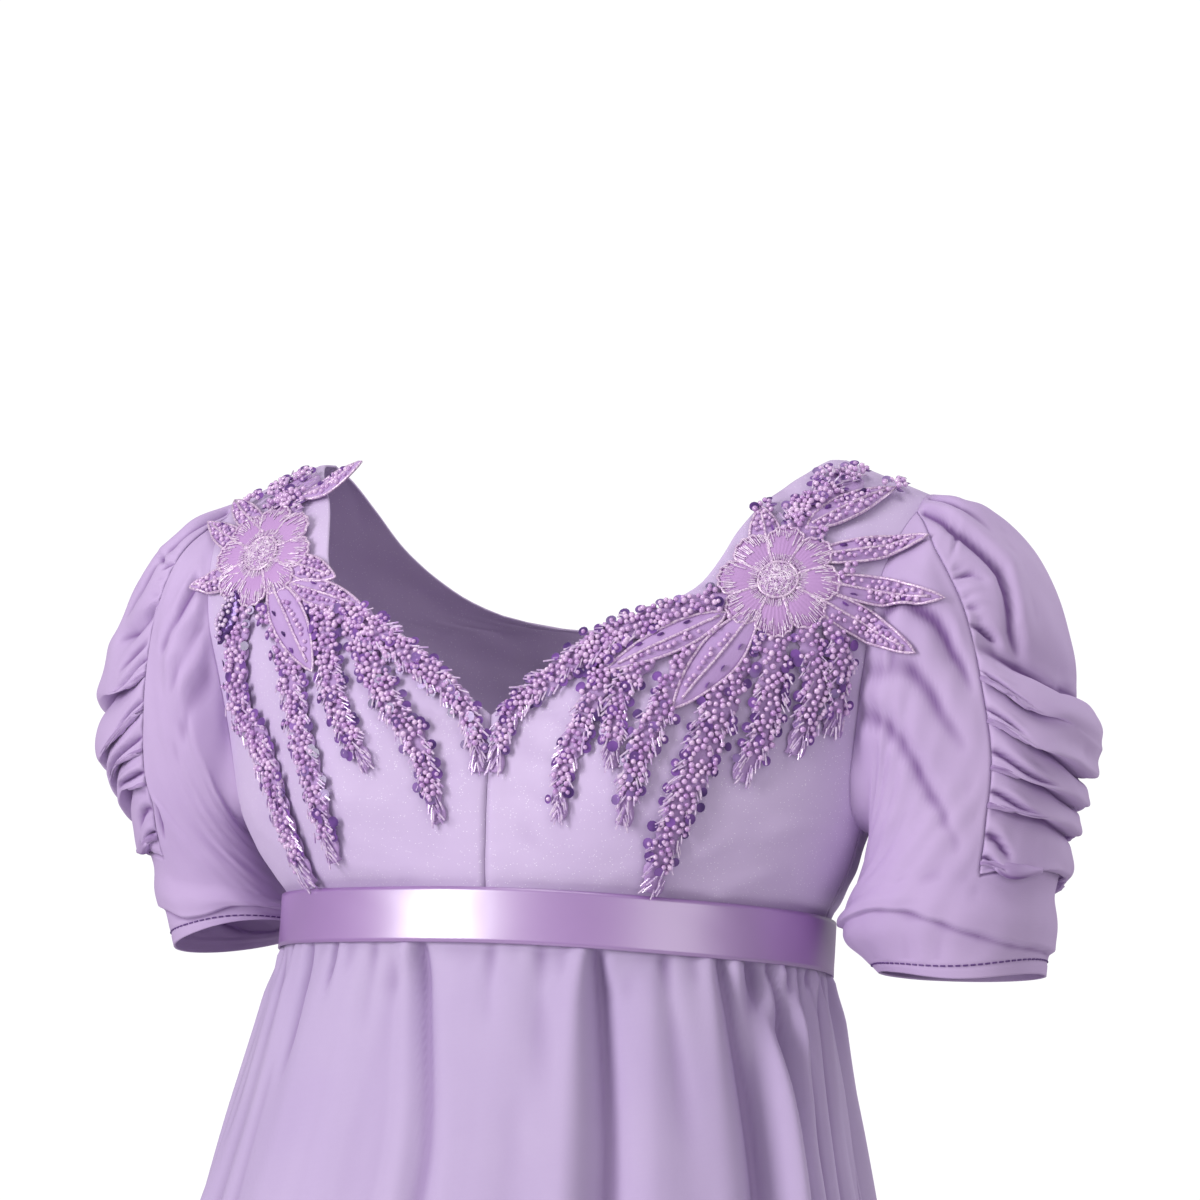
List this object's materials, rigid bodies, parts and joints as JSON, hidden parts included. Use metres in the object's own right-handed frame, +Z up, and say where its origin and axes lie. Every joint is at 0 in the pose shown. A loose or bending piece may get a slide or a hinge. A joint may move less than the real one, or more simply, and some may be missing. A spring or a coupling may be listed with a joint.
{
  "type": "regency gown",
  "caption": "Worn empire-line gown with a V neck, short gathered puff sleeves, a satin ribbon under the bust, beaded lace on the shoulders and a full-length gathered skirt.",
  "frame": {"origin": "midway between the two shoulder seams, at their height, where the wearer's shoulders hold the gown", "axes": "+X towards the wearer's left, -Y out of the front, +Z up"},
  "size_m": [0.8135, 0.6899, 1.3853],
  "materials": {
    "bodice_crepe": "lilac crepe with a faint glitter, matt",
    "sleeve_crepe": "lilac crepe, matt",
    "skirt_crepe": "lilac crepe, matt",
    "satin_ribbon": "mauve satin with a strong sheen",
    "beaded_lace": "mauve net and satin stitch under glass beads"
  },
  "bodies": {
    "root": {"bodice_front_left": "bodice_crepe", "bodice_front_right": "bodice_crepe", "bodice_back_left": "bodice_crepe", "bodice_back_right": "bodice_crepe", "sleeve_puff_left": "sleeve_crepe", "sleeve_puff_right": "sleeve_crepe", "sleeve_under_left": "sleeve_crepe", "sleeve_under_right": "sleeve_crepe", "waist_ribbon": "satin_ribbon", "skirt_front": "skirt_crepe", "skirt_back": "skirt_crepe", "lace_motif_left": "beaded_lace", "lace_motif_right": "beaded_lace"}
  },
  "joints": []
}
